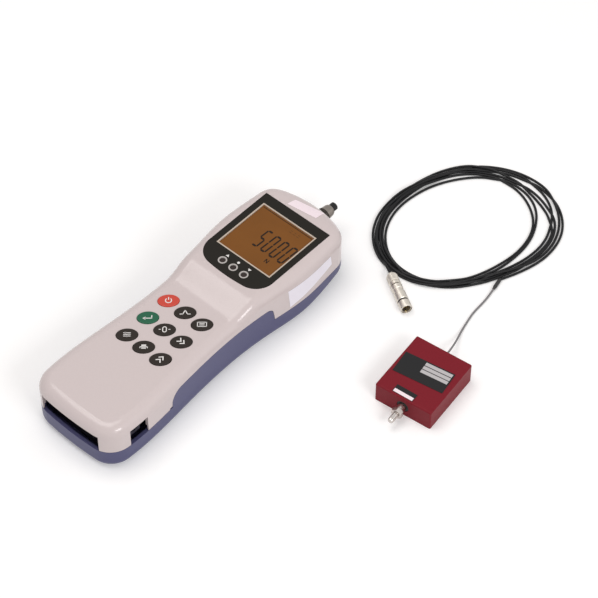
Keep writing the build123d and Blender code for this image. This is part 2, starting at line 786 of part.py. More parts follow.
def make_load_cell(nodes):
    """The load cell: housing, base, flexure beam, shaft, bush, nuts and grommet."""
    place = box_frame()
    half_w = box_width / 2
    half_l = box_length / 2
    front = -half_l
    inner_w = half_w - box_wall
    inner_l = half_l - box_wall
    housing = block(-half_w, half_w, -half_l, half_l, 0, box_height)
    edges = [e for e in housing.edges() if e.center().Z > 0.1]
    housing = fillet(edges, box_edge)
    housing -= block(-inner_w, inner_w, -inner_l, inner_l, -1, box_height - box_wall)
    bases = []
    for sx in (-1, 1):
        for sy in (-1, 1):
            x = sx * (inner_w - post_size / 2)
            y = sy * (inner_l - post_size / 2)
            post = block(x - post_size / 2, x + post_size / 2, y - post_size / 2, y + post_size / 2,
                         base_thickness, box_height - 1)
            housing += post - upright(x, y, 0, base_thickness + 7, 1.05)
            bases.append((x, y))
    housing -= along_y(0, shaft_height, front - 1, front + box_wall + 1, bush_radius + 0.05)
    housing -= along_y(0, shaft_height, half_l - box_wall - 1, half_l + 1, grommet_radius + 0.05)
    nodes["cell_housing"] = place * housing

    base_w = inner_w - base_clearance
    base_l = inner_l - base_clearance
    base = block(-base_w, base_w, -base_l, base_l, 0, base_thickness)
    screws = []
    for x, y in bases:
        base -= upright(x, y, -1, far, 1.25)
        base -= Pos(x, y, 0.6) * Cone(2.3, 1.1, 1.25)
        head = Pos(x, y, 0.62) * Cone(2.1, 1.0, 1.2)
        screws.append(head + upright(x, y, 1.0, base_thickness + 6, 1.0))
    riser_w = 5.0
    beam_half = inner_w - 1.0
    beam_low = shaft_height - beam_height / 2
    riser_y = beam_thickness / 2
    for sx in (-1, 1):
        x = sx * (beam_half - riser_w / 2)
        base += block(x - riser_w / 2, x + riser_w / 2, beam_y - riser_y, beam_y + riser_y,
                      base_thickness, beam_low)
    for sy in (-1, 1):
        base -= upright(0, sy * base_hole_spacing / 2, -1, base_thickness + 1, base_hole_radius)
    beam_screws = []
    beam = block(-beam_half, beam_half, beam_y - beam_thickness / 2, beam_y + beam_thickness / 2,
                 beam_low, beam_low + beam_height)
    beam -= along_y(0, shaft_height, beam_y - 9, beam_y + 9, shaft_tail_radius + shaft_running_clearance)
    for sx in (-1, 1):
        inner_x = sx * 5.6
        outer_x = sx * (beam_half - 6.0)
        for x in (inner_x, outer_x):
            beam -= upright(x, beam_y, 0, far, beam_hole_radius * 0.9)
        middle_x = (inner_x + outer_x) / 2
        span = abs(outer_x - inner_x) / 2
        beam -= block(middle_x - span, middle_x + span, beam_y - beam_slot / 2, beam_y + beam_slot / 2, 0, far)
        x = sx * (beam_half - riser_w / 2)
        beam -= upright(x, beam_y, 0, far, 1.1)
        base -= upright(x, beam_y, 0, far, 1.05)
        head = upright(x, beam_y, beam_low + beam_height, beam_low + beam_height + 1.1, 1.9)
        beam_screws.append(head + upright(x, beam_y, base_thickness - 1.5, beam_low + beam_height + 0.5, 1.0))
    nodes["cell_base"] = place * base
    nodes["cell_base_screws"] = place * Compound(screws)
    nodes["load_beam"] = place * beam
    nodes["load_beam_screws"] = place * Compound(beam_screws)

    sleeve_end = front - shaft_sleeve_length
    tip = sleeve_end - shaft_thread_length
    neck_end = sleeve_end - nut_gap - nut_thickness - 0.3
    beam_front = beam_y - beam_thickness / 2
    beam_back = beam_y + beam_thickness / 2
    shoulder_back = beam_front - beam_gap
    inner_nut_front = beam_back + beam_gap
    shaft_end = inner_nut_front + nut_thickness + 1.0
    axis_place = place * Pos(0, 0, shaft_height)
    nodes["measuring_shaft"] = turned(
        [
            (0, tip),
            (shaft_thread_radius * 0.45, tip),
            (shaft_thread_radius * 0.85, tip + 0.5),
            (shaft_thread_radius, tip + 1.3),
            (shaft_thread_radius, neck_end - shaft_groove_length),
            (shaft_groove_radius, neck_end - shaft_groove_length),
            (shaft_groove_radius, neck_end),
            (shaft_neck_radius, neck_end),
            (shaft_neck_radius, sleeve_end),
            (shaft_sleeve_radius - 0.3, sleeve_end),
            (shaft_sleeve_radius, sleeve_end + 0.3),
            (shaft_sleeve_radius, shoulder_back - shoulder_thickness),
            (shoulder_radius, shoulder_back - shoulder_thickness),
            (shoulder_radius, shoulder_back),
            (shaft_tail_radius, shoulder_back),
            (shaft_tail_radius, shaft_end),
            (0, shaft_end),
        ],
        axis_place,
    )
    bore = shaft_sleeve_radius + shaft_running_clearance
    nodes["shaft_bush"] = turned(
        [
            (bore + 0.3, front + bush_recess),
            (bush_radius, front + bush_recess),
            (bush_radius, front + box_wall),
            (bore, front + box_wall),
            (bore, front + bush_recess + 0.3),
        ],
        axis_place,
    )
    nut_hole = shaft_neck_radius + shaft_running_clearance
    nut = hexagon(nut_flats, nut_thickness, sleeve_end - nut_gap - nut_thickness, shaft_height)
    nut = chamfer_hex(nut, sleeve_end - nut_gap - nut_thickness, nut_thickness)
    nut -= along_y(0, shaft_height, tip, sleeve_end + 1, nut_hole)
    nodes["lock_nut"] = place * nut
    inner_nut = hexagon(nut_flats, nut_thickness, inner_nut_front, shaft_height)
    inner_nut -= along_y(0, shaft_height, inner_nut_front - 1, shaft_end + 1, shaft_tail_radius + 0.02)
    nodes["shaft_inner_nut"] = place * inner_nut

    board_end = half_l - junction_gap
    board_start = board_end - junction_length
    leg_y = (board_start + board_end) / 2
    board = block(-9, 9, board_start, board_end, base_thickness + 2.5, base_thickness + 3.7)
    legs = [upright(sx * 7.5, leg_y, base_thickness, base_thickness + 2.5, 1.2) for sx in (-1, 1)]
    for leg in legs:
        board += leg
    nodes["junction_board"] = place * board

    hole = lead_radius + 0.02
    back = half_l
    nodes["lead_grommet"] = turned(
        [
            (hole, back - box_wall - 1.2),
            (grommet_flange_radius, back - box_wall - 1.2),
            (grommet_flange_radius, back - box_wall - 0.05),
            (grommet_radius, back - box_wall - 0.05),
            (grommet_radius, back + 0.05),
            (grommet_flange_radius, back + 0.05),
            (grommet_flange_radius - 0.4, back + 1.1),
            (hole + 0.55, back + grommet_stand_out),
            (hole, back + grommet_stand_out),
        ],
        axis_place,
    )


def chamfer_hex(nut, y, thickness):
    """Round off the corners of a hex nut with a cone at each face."""
    corner = nut_flats / 2 / cos(radians(30))
    cone = turned(
        [
            (0, y),
            (nut_flats / 2 - 0.1, y),
            (corner + 0.05, y + 0.5),
            (corner + 0.05, y + thickness - 0.5),
            (nut_flats / 2 - 0.1, y + thickness),
            (0, y + thickness),
        ],
        Pos(0, 0, shaft_height),
    )
    return nut & cone


def tube(points, radii, radius):
    """A round cable of straight runs joined by tangent arcs."""
    path = FilletPolyline(*points, radius=radii)
    start = Plane(origin=path @ 0, z_dir=path % 0)
    return sweep(start * Circle(radius), path=path)


def bend_radii(points):
    """The largest arc that the runs on each side of a corner allow."""
    radii = []
    for before, at, after in zip(points, points[1:], points[2:]):
        a = Vector(*at) - Vector(*before)
        b = Vector(*after) - Vector(*at)
        turn = a.get_angle(b)
        radii.append(0.45 * min(a.length, b.length) / tan(radians(turn / 2)))
    return radii


def coil_ring(base, swing):
    """A closed smooth loop whose radius follows a few harmonics about the coil's centre."""
    points = []
    for i in range(coil_points):
        t = radians(360 / coil_points * i)
        c1, s1, c2, s2 = swing
        r = base + c1 * cos(t) + s1 * sin(t) + c2 * cos(2 * t) + s2 * sin(2 * t)
        points.append((coil_center[0] + r * cos(t), coil_center[1] + r * sin(t)))
    return make_face(Spline(*points, periodic=True))


def make_cables(nodes):
    """The thin lead, the splice, the coil of cable and the short tail into the plug."""
    place = box_frame()
    root = (place * Pos(0, box_length / 2 - 1.0, shaft_height)).position
    bend = (place * Pos(0, box_length / 2 + grommet_stand_out + lead_start_run, shaft_height)).position
    points = [tuple(root), tuple(bend)] + lead_points + [splice_start]
    radii = bend_radii(points)
    print("lead arcs", [round(r, 1) for r in radii])
    lead = tube(points, radii, lead_radius)
    nodes["lead_cable"] = lead
    length = FilletPolyline(*points, radius=radii).length
    print("lead length", round(length, 1), "volume ratio", lead.volume / (3.14159265 * lead_radius ** 2 * length))

    start = Vector(*splice_start)
    end = Vector(*splice_end)
    axis = Plane(origin=start, z_dir=end - start)
    sleeve_length = (end - start).length
    sleeve = Cone(lead_radius + 0.15, splice_radius, 2.5, align=(Align.CENTER, Align.CENTER, Align.MIN))
    sleeve += Pos(0, 0, 2.5) * Cylinder(splice_radius, sleeve_length - 2.5,
                                        align=(Align.CENTER, Align.CENTER, Align.MIN))
    nodes["splice_sleeve"] = axis.location * sleeve

    outer = coil_ring(coil_outer_radius, coil_outer_swing)
    inner = coil_ring(coil_inner_radius, coil_inner_swing)
    nodes["cable_coil"] = slab(outer, 0, coil_height) - slab(inner, -1, coil_height + 1)

    tail_points = [
        tail_start,
        tail_bend,
        (plug_back[0] + 1.0 * cos(radians(plug_turn)), plug_back[1] + 1.0 * sin(radians(plug_turn)), plug_radius),
    ]
    tail = tube(tail_points, bend_radii(tail_points), cable_radius)
    nodes["cable_tail"] = tail


def make_plug(nodes):
    """The push-pull plug, built along its own Y from the cable end to the mouth."""
    place = Pos(plug_back[0], plug_back[1], plug_radius) * Rot(0, 0, plug_turn - 90)
    nut_end = plug_nut_length
    grip_end = nut_end + plug_grip_length
    sleeve_start = plug_length - plug_sleeve_length
    mouth_back = plug_length - plug_mouth_depth
    hole = cable_radius + 0.05
    nodes["plug_back_nut"] = turned(
        [
            (hole, 0),
            (plug_nut_radius - 1.0, 0),
            (plug_nut_radius - 0.3, 1.2),
            (plug_nut_radius, 2.0),
            (plug_nut_radius, nut_end - 0.6),
            (plug_nut_radius - 0.4, nut_end),
            (hole, nut_end),
        ],
        place,
    )
    inner = plug_mouth_radius
    mouth_outer = plug_mouth_radius + plug_mouth_wall
    grip_radius = plug_radius - 0.15
    nodes["plug_body"] = turned(
        [
            (hole, nut_end),
            (grip_radius - 0.4, nut_end),
            (grip_radius, nut_end + 0.4),
            (grip_radius, nut_end + 2.2),
            (grip_radius - 0.4, nut_end + 2.4),
            (grip_radius - 0.4, nut_end + 3.0),
            (grip_radius, nut_end + 3.2),
            (grip_radius, grip_end - 0.3),
            (plug_body_radius, grip_end),
            (plug_body_radius, mouth_back),
            (mouth_outer, mouth_back),
            (mouth_outer, plug_length - 0.6),
            (inner, plug_length - 0.6),
            (inner, mouth_back),
            (plug_seat_radius, mouth_back),
            (plug_seat_radius, mouth_back - 4.0),
            (hole, mouth_back - 4.0),
        ],
        place,
    )
    bore = plug_body_radius + plug_sleeve_clearance
    nodes["plug_coupling_sleeve"] = turned(
        [
            (bore, sleeve_start),
            (plug_radius - 0.35, sleeve_start),
            (plug_radius, sleeve_start + 0.4),
            (plug_radius, sleeve_start + 6.5),
            (plug_radius - 0.3, sleeve_start + 6.8),
            (plug_radius - 0.3, sleeve_start + 8.0),
            (plug_radius, sleeve_start + 8.3),
            (plug_radius, plug_length - 0.4),
            (plug_radius - 0.3, plug_length),
            (bore, plug_length),
        ],
        place,
    )
    seat = mouth_back - 4.0
    insert = along_y(0, 0, seat, mouth_back, plug_seat_radius - 0.05)
    pins = []
    for x, z in contact_ring(plug_pin_ring):
        insert -= along_y(x, z, seat - 1, mouth_back + 1, plug_pin_radius + 0.02)
        pins.append(along_y(x, z, seat - 0.0, mouth_back + 3.5, plug_pin_radius))
    nodes["plug_insert"] = place * insert
    nodes["plug_pins"] = place * Compound(pins)


def build():
    """Every node by name."""
    nodes = {}
    outer = case_form(0)
    inner = case_form(wall)
    nodes["top_shell"] = make_top_shell(outer, inner)
    nodes["bottom_shell"] = make_bottom_shell(outer, inner)
    for name, x, y in key_places():
        nodes[name] = make_key(x, y)
    make_display(nodes)
    make_board(nodes)
    make_ports(nodes)
    screw_y, tray_low = make_battery(nodes)
    make_screws(nodes, screw_y)
    make_socket(nodes)
    make_load_cell(nodes)
    make_cables(nodes)
    make_plug(nodes)
    return nodes


os.makedirs("parts", exist_ok=True)
for name, shape in build().items():
    export_step(shape, "parts/" + name + ".step")
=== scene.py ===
import json
import math

import bpy
from mathutils import Matrix, Vector
from mathutils.bvhtree import BVHTree


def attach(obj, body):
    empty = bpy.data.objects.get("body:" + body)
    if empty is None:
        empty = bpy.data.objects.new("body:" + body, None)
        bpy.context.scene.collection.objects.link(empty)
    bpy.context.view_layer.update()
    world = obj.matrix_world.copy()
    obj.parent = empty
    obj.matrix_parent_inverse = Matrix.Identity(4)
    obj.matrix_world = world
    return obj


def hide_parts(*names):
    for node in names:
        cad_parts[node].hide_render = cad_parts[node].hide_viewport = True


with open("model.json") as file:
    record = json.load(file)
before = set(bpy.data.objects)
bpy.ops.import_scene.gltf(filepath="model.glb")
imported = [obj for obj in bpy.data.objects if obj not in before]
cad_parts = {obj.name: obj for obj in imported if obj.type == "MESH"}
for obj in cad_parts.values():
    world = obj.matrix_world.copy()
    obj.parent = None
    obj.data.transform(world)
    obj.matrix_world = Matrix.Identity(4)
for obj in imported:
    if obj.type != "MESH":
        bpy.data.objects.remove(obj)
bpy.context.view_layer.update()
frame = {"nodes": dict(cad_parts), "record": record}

# Sizes are in millimetres and get multiplied by MM where Blender takes metres.
# The camera, the stage and the lights are in metres.
MM = 0.001

# Camera: it looks at TARGET from DISTANCE, at the photograph's viewing angle
YAW = math.radians(42.05)
ELEVATION = math.radians(50.15)
DISTANCE = 1.5
TARGET = Vector((0.036, 0.056, 0.020))
PIXELS_PER_METRE = 1580.0
FRAME_PIXELS = 598.0
SENSOR = 36.0
CLIP_END = 20.0


def make_camera():
    view = Vector((
        -math.sin(YAW) * math.cos(ELEVATION),
        math.cos(YAW) * math.cos(ELEVATION),
        -math.sin(ELEVATION),
    ))
    data = bpy.data.cameras.new("camera")
    data.sensor_width = SENSOR
    data.lens = PIXELS_PER_METRE * DISTANCE / FRAME_PIXELS * SENSOR
    data.clip_end = CLIP_END
    camera = link(bpy.data.objects.new("camera", data))
    camera.location = TARGET - view * DISTANCE
    camera.rotation_euler = view.to_track_quat("-Z", "Y").to_euler()
    bpy.context.scene.camera = camera


# Materials: what is the same for all of them, with the depths in metres
GRAIN_DETAIL = 3.0
GRAIN_RAMP = (0.3, 0.7)
FINE_DETAIL = 2.0
FINE_DEPTH = 0.0002
STREAK_DETAIL = 4.0
STREAK_DEPTH = 0.0001
COAT_ROUGHNESS = 0.15


def bump_from(nodes, links, texture, strength, depth):
    """Let a texture raise the surface of the material's shader a little."""
    relief = nodes.new("ShaderNodeBump")
    relief.inputs["Strength"].default_value = strength
    relief.inputs["Distance"].default_value = depth
    links.new(texture.outputs["Fac"], relief.inputs["Height"])
    links.new(relief.outputs["Normal"], nodes["Principled BSDF"].inputs["Normal"])


def noise_texture(nodes, scale, detail):
    noise = nodes.new("ShaderNodeTexNoise")
    noise.inputs["Scale"].default_value = scale
    noise.inputs["Detail"].default_value = detail
    return noise


def material(
    name,
    color,
    rough=0.5,
    metallic=0.0,
    grain=0.02,
    grain_scale=900.0,
    bump=0.02,
    bump_scale=2500.0,
    coat=0.0,
    specular=0.5,
):
    """A principled surface whose colour varies by the share grain, with a fine bump."""
    mat = bpy.data.materials.new(name)
    mat.use_nodes = True
    nodes = mat.node_tree.nodes
    links = mat.node_tree.links
    shader = nodes["Principled BSDF"]
    shader.inputs["Metallic"].default_value = metallic
    shader.inputs["Roughness"].default_value = rough
    shader.inputs["Specular IOR Level"].default_value = specular
    shader.inputs["Coat Weight"].default_value = coat
    shader.inputs["Coat Roughness"].default_value = COAT_ROUGHNESS
    coords = nodes.new("ShaderNodeTexCoord")
    noise = noise_texture(nodes, grain_scale, GRAIN_DETAIL)
    links.new(coords.outputs["Object"], noise.inputs["Vector"])
    ramp = nodes.new("ShaderNodeValToRGB")
    low = [c * (1 - grain) for c in color]
    high = [min(1.0, c * (1 + grain)) for c in color]
    for stop, position, shade in zip(ramp.color_ramp.elements, GRAIN_RAMP, (low, high)):
        stop.position = position
        stop.color = (*shade, 1)
    links.new(noise.outputs["Fac"], ramp.inputs["Fac"])
    links.new(ramp.outputs["Color"], shader.inputs["Base Color"])
    if bump > 0:
        fine = noise_texture(nodes, bump_scale, FINE_DETAIL)
        links.new(coords.outputs["Object"], fine.inputs["Vector"])
        bump_from(nodes, links, fine, bump, FINE_DEPTH)
    return mat


def brushed(name, color, rough, axis_scale, strength=0.15):
    """Turned or brushed metal: fine streaks along the axis with the smallest scale."""
    mat = material(
        name, color, rough=rough, metallic=1.0, grain=0.06, grain_scale=400.0, bump=0.0,
    )
    nodes = mat.node_tree.nodes
    links = mat.node_tree.links
    coords = nodes.new("ShaderNodeTexCoord")
    mapping = nodes.new("ShaderNodeMapping")
    mapping.inputs["Scale"].default_value = axis_scale
    streaks = noise_texture(nodes, 1.0, STREAK_DETAIL)
    links.new(coords.outputs["Object"], mapping.inputs["Vector"])
    links.new(mapping.outputs["Vector"], streaks.inputs["Vector"])
    bump_from(nodes, links, streaks, strength, STREAK_DEPTH)
    return mat


# Colour, then what differs from the defaults of material()
PLAIN_SURFACES = {
    "shell_grey": ((0.635, 0.55, 0.545), dict(rough=0.17, grain=0.012)),
    "shell_blue": ((0.076, 0.076, 0.172), dict(rough=0.38, bump=0.03, specular=0.4)),
    "bezel_black": (
        (0.014, 0.012, 0.009), dict(rough=0.3, grain=0.03, bump=0.0, specular=0.15),
    ),
    "lcd_frame_beige": ((0.55, 0.46, 0.38), dict(rough=0.4, bump=0.0)),
    "lcd_amber": (
        (0.20, 0.075, 0.014),
        dict(rough=0.28, grain=0.05, grain_scale=60.0, bump=0.0, specular=0.15),
    ),
    "lcd_ink": ((0.018, 0.010, 0.006), dict(rough=0.4, bump=0.0, specular=0.15)),
    "lcd_ink_faint": ((0.125, 0.05, 0.012), dict(rough=0.35, bump=0.0, specular=0.15)),
    "backlight_white": ((0.8, 0.8, 0.76), dict()),
    "holder_black": ((0.034, 0.030, 0.045), dict(rough=0.6)),
    "collar_white": ((0.48, 0.45, 0.43), dict(rough=0.35, bump=0.0)),
    "led_smoke": ((0.035, 0.024, 0.022), dict(rough=0.28, bump=0.0, specular=0.2)),
    "board_green": ((0.012, 0.09, 0.04), dict(rough=0.35, coat=0.3)),
    "chip_black": ((0.050, 0.045, 0.062), dict()),
    "tongue_black": ((0.02, 0.018, 0.024), dict(specular=0.3)),
    "cell_label": ((0.05, 0.05, 0.06), dict(rough=0.3, coat=0.3)),
    "insert_black": ((0.012, 0.012, 0.012), dict(rough=0.4, specular=0.25)),
    "key_red": ((0.58, 0.045, 0.022), dict(rough=0.36)),
    "key_green": ((0.01, 0.11, 0.055), dict(rough=0.36, specular=0.3)),
    "key_charcoal": ((0.026, 0.020, 0.016), dict(rough=0.42, grain=0.03, specular=0.15)),
    "print_white": ((0.78, 0.76, 0.74), dict(rough=0.45, grain=0.01, bump=0.0)),
    "label_white": ((0.86, 0.82, 0.90), dict(rough=0.42, grain=0.015)),
    "label_pink": ((0.93, 0.80, 0.85), dict(rough=0.4, grain=0.015)),
    "plate_black": (
        (0.019, 0.019, 0.020), dict(rough=0.4, grain=0.03, bump=0.0, specular=0.15),
    ),
    "plate_grey": ((0.50, 0.48, 0.49), dict(rough=0.4, grain=0.03, bump=0.0)),
    "cell_red": (
        (0.20, 0.012, 0.021),
        dict(rough=0.42, grain=0.05, bump=0.06, bump_scale=4000.0, specular=0.12),
    ),
    "rubber_black": ((0.02, 0.019, 0.019), dict(rough=0.6, grain=0.1)),
    "lead_grey": ((0.19, 0.18, 0.185), dict(grain=0.05)),
    "cable_black": (
        (0.011, 0.011, 0.012), dict(rough=0.34, grain=0.1, bump=0.0, specular=0.22),
    ),
}
# Colour, roughness, scale of the streaks along X, Y and Z, and the strength where it differs
METALS = {
    "dome_steel": ((0.65, 0.65, 0.65), 0.25, (400, 400, 400)),
    "connector_steel": ((0.6, 0.6, 0.62), 0.3, (200, 2000, 2000)),
    "screw_steel": ((0.5, 0.5, 0.5), 0.3, (900, 900, 100)),
    "brass": ((0.7, 0.48, 0.2), 0.25, (1500, 1500, 200)),
    "socket_metal": ((0.27, 0.24, 0.215), 0.28, (100, 4000, 100)),
    "socket_dark": ((0.055, 0.048, 0.042), 0.32, (100, 4000, 100)),
    "contact_gold": ((0.8, 0.58, 0.22), 0.2, (900, 900, 900), 0.05),
    "cell_base_metal": ((0.6, 0.6, 0.62), 0.35, (300, 4000, 300)),
    "beam_metal": ((0.7, 0.7, 0.72), 0.3, (4000, 300, 300)),
    "shaft_steel": ((0.62, 0.58, 0.55), 0.25, (300, 6000, 300)),
    "nut_steel": ((0.55, 0.5, 0.47), 0.28, (1500, 1500, 1500), 0.08),
    "plug_nickel": ((0.70, 0.65, 0.58), 0.36, (2500, 2500, 2500), 0.05),
}
MATS = {name: material(name, color, **looks) for name, (color, looks) in PLAIN_SURFACES.items()}
MATS.update({name: brushed(name, *looks) for name, looks in METALS.items()})


def dress_nodes():
    """Give every CAD node the material of its slot."""
    slots = {s["node"]: s["material_slot"] for s in frame["record"]["subparts"]}
    for name, obj in frame["nodes"].items():
        obj.data.materials.clear()
        obj.data.materials.append(MATS[slots[name]])


# Helpers for pieces
def link(obj):
    bpy.context.scene.collection.objects.link(obj)
    return obj


def mesh_object(name, verts, faces, mat, body, smooth=False):
    """A piece from points in millimetres, in the named material, riding on a CAD body."""
    mesh = bpy.data.meshes.new(name)
    mesh.from_pydata([Vector(v) * MM for v in verts], [], faces)
    mesh.update()
    obj = link(bpy.data.objects.new(name, mesh))
    if smooth:
        for polygon in mesh.polygons:
            polygon.use_smooth = True
    mesh.materials.append(MATS[mat])
    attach(obj, body)
    return obj


def moved(verts, matrix):
    return [tuple(matrix @ Vector(v)) for v in verts]


def flat_piece(name, outlines, low, high, mat, body, place=None):
    """Flat outlines raised from low to high, then moved by place where it is given."""
    verts = []
    faces = []
    for outline in outlines:
        n = len(outline)
        base = len(verts)
        verts += [(x, y, low) for x, y in outline]
        verts += [(x, y, high) for x, y in outline]
        faces.append(tuple(base + n + i for i in range(n)))
        faces.append(tuple(base + i for i in reversed(range(n))))
        for i in range(n):
            j = (i + 1) % n
            faces.append((base + i, base + j, base + n + j, base + n + i))
    if place is not None:
        verts = moved(verts, place)
    mesh_object(name, verts, faces, mat, body)


def rect(cx, cy, w, h):
    return [
        (cx - w / 2, cy - h / 2),
        (cx + w / 2, cy - h / 2),
        (cx + w / 2, cy + h / 2),
        (cx - w / 2, cy + h / 2),
    ]


def bar(x0, y0, x1, y1, width):
    """A straight stroke between two points."""
    d = Vector((x1 - x0, y1 - y0)).normalized() * (width / 2)
    n = Vector((-d.y, d.x))
    return [
        (x0 - n.x, y0 - n.y),
        (x1 - n.x, y1 - n.y),
        (x1 + n.x, y1 + n.y),
        (x0 + n.x, y0 + n.y),
    ]


def hexagon_stroke(x0, y0, x1, y1, width):
    """A display segment: a bar with pointed ends."""
    d = Vector((x1 - x0, y1 - y0)).normalized()
    n = Vector((-d.y, d.x)) * (width / 2)
    h = d * (width / 2)
    a = Vector((x0, y0))
    b = Vector((x1, y1))
    corners = (a, a + h - n, b - h - n, b, b - h + n, a + h + n)
    return [tuple(corner) for corner in corners]


def arc_strokes(cx, cy, radius, start, end, width, steps=20):
    """A curved stroke as short quads."""
    inner = radius - width / 2
    outer = radius + width / 2
    strokes = []
    for i in range(steps):
        a = math.radians(start + (end - start) * i / steps)
        b = math.radians(start + (end - start) * (i + 1) / steps)
        strokes.append([
            (cx + inner * math.cos(a), cy + inner * math.sin(a)),
            (cx + outer * math.cos(a), cy + outer * math.sin(a)),
            (cx + outer * math.cos(b), cy + outer * math.sin(b)),
            (cx + inner * math.cos(b), cy + inner * math.sin(b)),
        ])
    return strokes


# Where the load cell and the plug lie
CELL_CENTER = (131.5, 65.6)
CELL_TURN = math.radians(6.9)
CELL_TOP = 15.5
SHAFT_HEIGHT = 7.75
CELL_BOX = (
    Matrix.Translation((CELL_CENTER[0], CELL_CENTER[1], 0))
    @ Matrix.Rotation(CELL_TURN, 4, "Z")
)
PLUG_BACK = (57.1, 121.1)
PLUG_HEIGHT = 4.0
PLUG_TURN = math.radians(-29.9)

# Thin lead: in the load cell's own axes up to its bend, then over the bench to the splice
LEAD_RADIUS = 0.65
LEAD_ROOT_Y = 22.5
LEAD_BEND_Y = 30.5
LEAD_ON_BENCH = [
    (123.7, 107.6, 3.3),
    (119.9, 117.0, 0.9),
    (117.6, 126.0, 0.75),
    (115.7, 134.6, 0.75),
    (115.3, 143.0, 0.75),
    (114.6, 150.6, 0.85),
]
SPLICE_START = (113.2, 157.6, 1.25)
SPLICE_END = (111.2, 166.6, 1.25)

# Cable coil: its inner and outer edge are radii that swing once and twice a round
COIL_CENTER = (66.0, 182.0)
COIL_INNER = (45.2, -3.4, 1.53, -5.28, 2.36)
COIL_OUTER = (57.7, -0.84, 5.78, -5.24, 4.89)
EDGE_GAP = 0.3
CABLE_RADIUS = 0.85
COIL_START = -18.0
COIL_END = 248.0
COIL_TURNS = 6
SLICES = 48
TAIL_BEND = (49.6, 125.6, 3.4)
TAIL_IN_PLUG = 1.0
# Where each turn lies between the coil's inner edge (0) and outer edge (1), every PLACE_STEP
PLACE_STEP = 30.0
PLACE_LEAST = -0.10
PLACE_MOST = 1.30
TURN_PLACES = [
    [1.00, 1.05, 1.15, 0.98, 0.72, 0.60, 0.75, 0.90, 0.95, 0.90, 0.80, 0.70],
    [0.62, 0.66, 0.77, 0.40, 0.55, 1.10, 1.00, 0.75, 0.60, 0.50, 0.35, 0.02],
    [0.00, 0.00, 0.02, 0.00, 0.20, 0.42, 0.48, 0.50, 0.45, 0.40, 0.50, 0.55],
    [0.62, 0.92, 1.00, 1.00, 0.98, 0.92, 0.60, 0.55, 0.70, 0.75, 0.60, 0.45],
    [0.28, 0.10, 0.06, 0.22, 0.18, -0.08, -0.05, 0.00, 0.00, 0.05, 0.20, 0.38],
    [0.45, 0.56, 0.68, 0.82, 0.86, 0.62, 0.45, 0.40, 0.35, 0.30, 0.60, 0.80],
    [0.85, 0.82, 0.86, 0.56, 0.38, 0.60, 0.50, 0.70, 0.85, 1.00, 1.00, 1.00],
]
# How the strands settle: all sweeps push strands apart, the first ones also pull and sink
SWEEPS = 400
SETTLING_SWEEPS = 340
STRAND_GAP = 2 * CABLE_RADIUS * 1.04
TOUCHING = 1e-4
PULL_TO_PLACE = 0.10
SINK = 0.05
SMOOTH_RADIUS = 0.25
SMOOTH_HEIGHT = 0.30
START_WAVE = 1.7
WAVE_STEP = 0.21
WAVE_START = 1.0
# How finely a cord is drawn
CORD_BEVEL_STEPS = 4
CORD_CURVE_STEPS = 5


def swing(values, angle):
    base, c1, s1, c2, s2 = values
    t = math.radians(angle)
    once = base + c1 * math.cos(t) + s1 * math.sin(t)
    return once + c2 * math.cos(2 * t) + s2 * math.sin(2 * t)


def place_at(places, angle):
    """A smooth curve through the stated places."""
    at = (angle - COIL_START) / PLACE_STEP
    k = min(int(at), len(places) - 2)
    part = at - k
    before = places[max(k - 1, 0)]
    after = places[min(k + 2, len(places) - 1)]
    a, b = places[k], places[k + 1]
    third = 3 * (a - b) + after - before
    second = 2 * before - 5 * a + 4 * b - after + part * third
    return a + 0.5 * part * (b - before + part * second)


def push_apart(r, z, group):
    """Part the strands of one slice of the coil and keep them on the bench."""
    for first in range(len(group)):
        for second in range(first + 1, len(group)):
            i, j = group[first], group[second]
            dr = r[j] - r[i]
            dz = z[j] - z[i]
            d = math.hypot(dr, dz)
            if d < STRAND_GAP:
                if d < TOUCHING:
                    dz, d = TOUCHING, TOUCHING
                push = (STRAND_GAP - d) / 2 / d
                r[i] -= dr * push
                r[j] += dr * push
                z[i] -= dz * push
                z[j] += dz * push
    for i in group:
        z[i] = max(CABLE_RADIUS, z[i])


def coil_route():
    """The turns, settled so that no strand runs through another and all rest on what is below."""
    step = 360.0 / SLICES
    whole = COIL_END - COIL_START + COIL_TURNS * 360
    count = int(round(whole / step)) + 1
    angles = [COIL_START + whole * i / (count - 1) for i in range(count)]
    places = [u for turn in TURN_PLACES for u in turn]
    want = []
    for angle in angles:
        u = place_at(places, angle)
        low = swing(COIL_INNER, angle) + CABLE_RADIUS + EDGE_GAP
        high = swing(COIL_OUTER, angle) - CABLE_RADIUS - EDGE_GAP
        want.append(low + (high - low) * min(PLACE_MOST, max(PLACE_LEAST, u)))
    r = list(want)
    z = [
        CABLE_RADIUS + START_WAVE * (0.5 + 0.5 * math.sin(i * WAVE_STEP + WAVE_START))
        for i in range(count)
    ]
    slices = {}
    for i, angle in enumerate(angles):
        key = int(round((angle % 360) / step)) % SLICES
        slices.setdefault(key, []).append(i)
    for sweep in range(SWEEPS):
        if sweep < SETTLING_SWEEPS:
            for i in range(count):
                r[i] += PULL_TO_PLACE * (want[i] - r[i])
                z[i] -= SINK
            for i in range(1, count - 1):
                around = (r[i - 1] - want[i - 1] + r[i + 1] - want[i + 1]) / 2
                r[i] += SMOOTH_RADIUS * (around - (r[i] - want[i]))
                z[i] += SMOOTH_HEIGHT * ((z[i - 1] + z[i + 1]) / 2 - z[i])
        for group in slices.values():
            push_apart(r, z, group)
    points = []
    for angle, radius, height in zip(angles, r, z):
        t = math.radians(angle)
        x = COIL_CENTER[0] + radius * math.cos(t)
        y = COIL_CENTER[1] + radius * math.sin(t)
        points.append((x, y, height))
    return points


